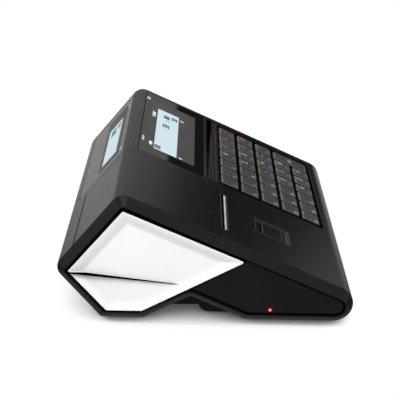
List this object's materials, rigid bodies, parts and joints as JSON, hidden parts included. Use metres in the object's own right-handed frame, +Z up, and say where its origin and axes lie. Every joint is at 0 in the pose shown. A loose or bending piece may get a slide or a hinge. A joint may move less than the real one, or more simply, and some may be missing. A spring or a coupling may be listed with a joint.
{
  "type": "ticket register",
  "caption": "Compact wedge-shaped ticket register with an operator display, a customer display, a keypad and a lidded ticket printer.",
  "frame": {"origin": "centre of the bounding box on the surface that the register stands on", "axes": "+X to the operator's right, +Y from the operator towards the customer, +Z up"},
  "size_m": [0.2364, 0.1955, 0.09],
  "materials": {
    "housing_black": "satin moulded black",
    "skirt_black": "smooth black",
    "panel_white": "smooth white",
    "key_grey": "satin dark grey",
    "lens_dark": "polished dark lens",
    "display_pale": "pale display",
    "lamp_red": "clear red",
    "rubber_black": "dull black",
    "mat_rubber": "dull grey",
    "bright_steel": "ground",
    "inner_plastic": "moulded grey",
    "gear_plastic": "moulded white",
    "board_green": "solder mask",
    "head_aluminium": "extruded"
  },
  "bodies": {
    "housing": {"upper_housing": "housing_black", "lower_housing": "housing_black", "left_end_panel": "panel_white", "right_end_panel": "panel_white", "left_skirt": "skirt_black", "right_skirt": "skirt_black", "status_lamp": "lamp_red", "operator_lens": "lens_dark", "operator_display": "display_pale", "customer_lens": "lens_dark", "customer_display": "display_pale", "key_guide": "inner_plastic", "key_mat": "mat_rubber", "main_board": "board_green", "printer_frame": "inner_plastic", "print_head": "head_aluminium", "tear_bar": "bright_steel", "feed_motor": "bright_steel", "battery_door": "housing_black", "front_foot_strip": "rubber_black", "rear_foot_strip": "rubber_black"},
    "printer_lid": {"printer_lid": "housing_black"},
    "platen_roller": {"platen_roller": "rubber_black"},
    "idler_gear": {"idler_gear": "gear_plastic"},
    "motor_pinion": {"motor_pinion": "bright_steel"},
    "latch_button": {"latch_button": "skirt_black"},
    "key_row1_column1": {"key_row1_column1": "key_grey"},
    "key_row1_column2": {"key_row1_column2": "key_grey"},
    "key_row1_column3": {"key_row1_column3": "key_grey"},
    "key_row1_column4": {"key_row1_column4": "key_grey"},
    "key_row1_column5": {"key_row1_column5": "key_grey"},
    "key_row1_column6": {"key_row1_column6": "key_grey"},
    "key_row1_column7": {"key_row1_column7": "key_grey"},
    "key_row2_column1": {"key_row2_column1": "key_grey"},
    "key_row2_column2": {"key_row2_column2": "key_grey"},
    "key_row2_column3": {"key_row2_column3": "key_grey"},
    "key_row2_column4": {"key_row2_column4": "key_grey"},
    "key_row2_column5": {"key_row2_column5": "key_grey"},
    "key_row2_column6": {"key_row2_column6": "key_grey"},
    "key_row2_column7": {"key_row2_column7": "key_grey"},
    "key_row3_column1": {"key_row3_column1": "key_grey"},
    "key_row3_column2": {"key_row3_column2": "key_grey"},
    "key_row3_column3": {"key_row3_column3": "key_grey"},
    "key_row3_column4": {"key_row3_column4": "key_grey"},
    "key_row3_column5": {"key_row3_column5": "key_grey"},
    "key_row3_column6": {"key_row3_column6": "key_grey"},
    "key_row3_column7": {"key_row3_column7": "key_grey"},
    "key_row4_column1": {"key_row4_column1": "key_grey"},
    "key_row4_column2": {"key_row4_column2": "key_grey"},
    "key_row4_column3": {"key_row4_column3": "key_grey"},
    "key_row4_column4": {"key_row4_column4": "key_grey"},
    "key_row4_column5": {"key_row4_column5": "key_grey"},
    "key_row4_column6": {"key_row4_column6": "key_grey"},
    "key_row5_column1": {"key_row5_column1": "key_grey"},
    "key_row5_column2": {"key_row5_column2": "key_grey"},
    "key_row5_column3": {"key_row5_column3": "key_grey"},
    "key_row5_column4": {"key_row5_column4": "key_grey"},
    "key_row5_column5": {"key_row5_column5": "key_grey"},
    "key_row5_column6": {"key_row5_column6": "key_grey"},
    "key_total": {"key_total": "key_grey"}
  },
  "joints": [
    {"name": "printer_lid_hinge", "type": "hinge", "parent": "housing", "child": "printer_lid", "pos_m": [0, 0.08524, 0.05433], "axis": [-1, 0, 0], "range_deg": [0, 90]},
    {"name": "latch_button_press", "type": "slide", "parent": "housing", "child": "latch_button", "axis": [0, 0.4099, -0.9121], "range_m": [0, 0.0015], "stiffness_N_per_m": 600, "springref_m": -0.001},
    {"name": "platen_roller_spin", "type": "hinge", "parent": "printer_lid", "child": "platen_roller", "pos_m": [0, 0.00083, 0.05557], "axis": [1, 0, 0], "continuous": true},
    {"name": "idler_gear_spin", "type": "hinge", "parent": "housing", "child": "idler_gear", "pos_m": [0, 0.00083, 0.04407], "axis": [1, 0, 0], "continuous": true},
    {"name": "motor_pinion_spin", "type": "hinge", "parent": "housing", "child": "motor_pinion", "pos_m": [0, 0.00083, 0.03407], "axis": [1, 0, 0], "continuous": true},
    {"name": "key_row1_column1_press", "type": "slide", "parent": "housing", "child": "key_row1_column1", "axis": [0, 0.4099, -0.9121], "range_m": [0, 0.002], "stiffness_N_per_m": 300, "springref_m": -0.001},
    {"name": "key_row1_column2_press", "type": "slide", "parent": "housing", "child": "key_row1_column2", "axis": [0, 0.4099, -0.9121], "range_m": [0, 0.002], "stiffness_N_per_m": 300, "springref_m": -0.001},
    {"name": "key_row1_column3_press", "type": "slide", "parent": "housing", "child": "key_row1_column3", "axis": [0, 0.4099, -0.9121], "range_m": [0, 0.002], "stiffness_N_per_m": 300, "springref_m": -0.001},
    {"name": "key_row1_column4_press", "type": "slide", "parent": "housing", "child": "key_row1_column4", "axis": [0, 0.4099, -0.9121], "range_m": [0, 0.002], "stiffness_N_per_m": 300, "springref_m": -0.001},
    {"name": "key_row1_column5_press", "type": "slide", "parent": "housing", "child": "key_row1_column5", "axis": [0, 0.4099, -0.9121], "range_m": [0, 0.002], "stiffness_N_per_m": 300, "springref_m": -0.001},
    {"name": "key_row1_column6_press", "type": "slide", "parent": "housing", "child": "key_row1_column6", "axis": [0, 0.4099, -0.9121], "range_m": [0, 0.002], "stiffness_N_per_m": 300, "springref_m": -0.001},
    {"name": "key_row1_column7_press", "type": "slide", "parent": "housing", "child": "key_row1_column7", "axis": [0, 0.4099, -0.9121], "range_m": [0, 0.002], "stiffness_N_per_m": 300, "springref_m": -0.001},
    {"name": "key_row2_column1_press", "type": "slide", "parent": "housing", "child": "key_row2_column1", "axis": [0, 0.4099, -0.9121], "range_m": [0, 0.002], "stiffness_N_per_m": 300, "springref_m": -0.001},
    {"name": "key_row2_column2_press", "type": "slide", "parent": "housing", "child": "key_row2_column2", "axis": [0, 0.4099, -0.9121], "range_m": [0, 0.002], "stiffness_N_per_m": 300, "springref_m": -0.001},
    {"name": "key_row2_column3_press", "type": "slide", "parent": "housing", "child": "key_row2_column3", "axis": [0, 0.4099, -0.9121], "range_m": [0, 0.002], "stiffness_N_per_m": 300, "springref_m": -0.001},
    {"name": "key_row2_column4_press", "type": "slide", "parent": "housing", "child": "key_row2_column4", "axis": [0, 0.4099, -0.9121], "range_m": [0, 0.002], "stiffness_N_per_m": 300, "springref_m": -0.001},
    {"name": "key_row2_column5_press", "type": "slide", "parent": "housing", "child": "key_row2_column5", "axis": [0, 0.4099, -0.9121], "range_m": [0, 0.002], "stiffness_N_per_m": 300, "springref_m": -0.001},
    {"name": "key_row2_column6_press", "type": "slide", "parent": "housing", "child": "key_row2_column6", "axis": [0, 0.4099, -0.9121], "range_m": [0, 0.002], "stiffness_N_per_m": 300, "springref_m": -0.001},
    {"name": "key_row2_column7_press", "type": "slide", "parent": "housing", "child": "key_row2_column7", "axis": [0, 0.4099, -0.9121], "range_m": [0, 0.002], "stiffness_N_per_m": 300, "springref_m": -0.001},
    {"name": "key_row3_column1_press", "type": "slide", "parent": "housing", "child": "key_row3_column1", "axis": [0, 0.4099, -0.9121], "range_m": [0, 0.002], "stiffness_N_per_m": 300, "springref_m": -0.001},
    {"name": "key_row3_column2_press", "type": "slide", "parent": "housing", "child": "key_row3_column2", "axis": [0, 0.4099, -0.9121], "range_m": [0, 0.002], "stiffness_N_per_m": 300, "springref_m": -0.001},
    {"name": "key_row3_column3_press", "type": "slide", "parent": "housing", "child": "key_row3_column3", "axis": [0, 0.4099, -0.9121], "range_m": [0, 0.002], "stiffness_N_per_m": 300, "springref_m": -0.001},
    {"name": "key_row3_column4_press", "type": "slide", "parent": "housing", "child": "key_row3_column4", "axis": [0, 0.4099, -0.9121], "range_m": [0, 0.002], "stiffness_N_per_m": 300, "springref_m": -0.001},
    {"name": "key_row3_column5_press", "type": "slide", "parent": "housing", "child": "key_row3_column5", "axis": [0, 0.4099, -0.9121], "range_m": [0, 0.002], "stiffness_N_per_m": 300, "springref_m": -0.001},
    {"name": "key_row3_column6_press", "type": "slide", "parent": "housing", "child": "key_row3_column6", "axis": [0, 0.4099, -0.9121], "range_m": [0, 0.002], "stiffness_N_per_m": 300, "springref_m": -0.001},
    {"name": "key_row3_column7_press", "type": "slide", "parent": "housing", "child": "key_row3_column7", "axis": [0, 0.4099, -0.9121], "range_m": [0, 0.002], "stiffness_N_per_m": 300, "springref_m": -0.001},
    {"name": "key_row4_column1_press", "type": "slide", "parent": "housing", "child": "key_row4_column1", "axis": [0, 0.4099, -0.9121], "range_m": [0, 0.002], "stiffness_N_per_m": 300, "springref_m": -0.001},
    {"name": "key_row4_column2_press", "type": "slide", "parent": "housing", "child": "key_row4_column2", "axis": [0, 0.4099, -0.9121], "range_m": [0, 0.002], "stiffness_N_per_m": 300, "springref_m": -0.001},
    {"name": "key_row4_column3_press", "type": "slide", "parent": "housing", "child": "key_row4_column3", "axis": [0, 0.4099, -0.9121], "range_m": [0, 0.002], "stiffness_N_per_m": 300, "springref_m": -0.001},
    {"name": "key_row4_column4_press", "type": "slide", "parent": "housing", "child": "key_row4_column4", "axis": [0, 0.4099, -0.9121], "range_m": [0, 0.002], "stiffness_N_per_m": 300, "springref_m": -0.001},
    {"name": "key_row4_column5_press", "type": "slide", "parent": "housing", "child": "key_row4_column5", "axis": [0, 0.4099, -0.9121], "range_m": [0, 0.002], "stiffness_N_per_m": 300, "springref_m": -0.001},
    {"name": "key_row4_column6_press", "type": "slide", "parent": "housing", "child": "key_row4_column6", "axis": [0, 0.4099, -0.9121], "range_m": [0, 0.002], "stiffness_N_per_m": 300, "springref_m": -0.001},
    {"name": "key_row5_column1_press", "type": "slide", "parent": "housing", "child": "key_row5_column1", "axis": [0, 0.4099, -0.9121], "range_m": [0, 0.002], "stiffness_N_per_m": 300, "springref_m": -0.001},
    {"name": "key_row5_column2_press", "type": "slide", "parent": "housing", "child": "key_row5_column2", "axis": [0, 0.4099, -0.9121], "range_m": [0, 0.002], "stiffness_N_per_m": 300, "springref_m": -0.001},
    {"name": "key_row5_column3_press", "type": "slide", "parent": "housing", "child": "key_row5_column3", "axis": [0, 0.4099, -0.9121], "range_m": [0, 0.002], "stiffness_N_per_m": 300, "springref_m": -0.001},
    {"name": "key_row5_column4_press", "type": "slide", "parent": "housing", "child": "key_row5_column4", "axis": [0, 0.4099, -0.9121], "range_m": [0, 0.002], "stiffness_N_per_m": 300, "springref_m": -0.001},
    {"name": "key_row5_column5_press", "type": "slide", "parent": "housing", "child": "key_row5_column5", "axis": [0, 0.4099, -0.9121], "range_m": [0, 0.002], "stiffness_N_per_m": 300, "springref_m": -0.001},
    {"name": "key_row5_column6_press", "type": "slide", "parent": "housing", "child": "key_row5_column6", "axis": [0, 0.4099, -0.9121], "range_m": [0, 0.002], "stiffness_N_per_m": 300, "springref_m": -0.001},
    {"name": "key_total_press", "type": "slide", "parent": "housing", "child": "key_total", "axis": [0, 0.4099, -0.9121], "range_m": [0, 0.002], "stiffness_N_per_m": 300, "springref_m": -0.001}
  ],
  "couplings": [
    {"joint": "idler_gear_spin", "follows": "platen_roller_spin", "ratio": -0.64286},
    {"joint": "motor_pinion_spin", "follows": "platen_roller_spin", "ratio": 1.5}
  ]
}
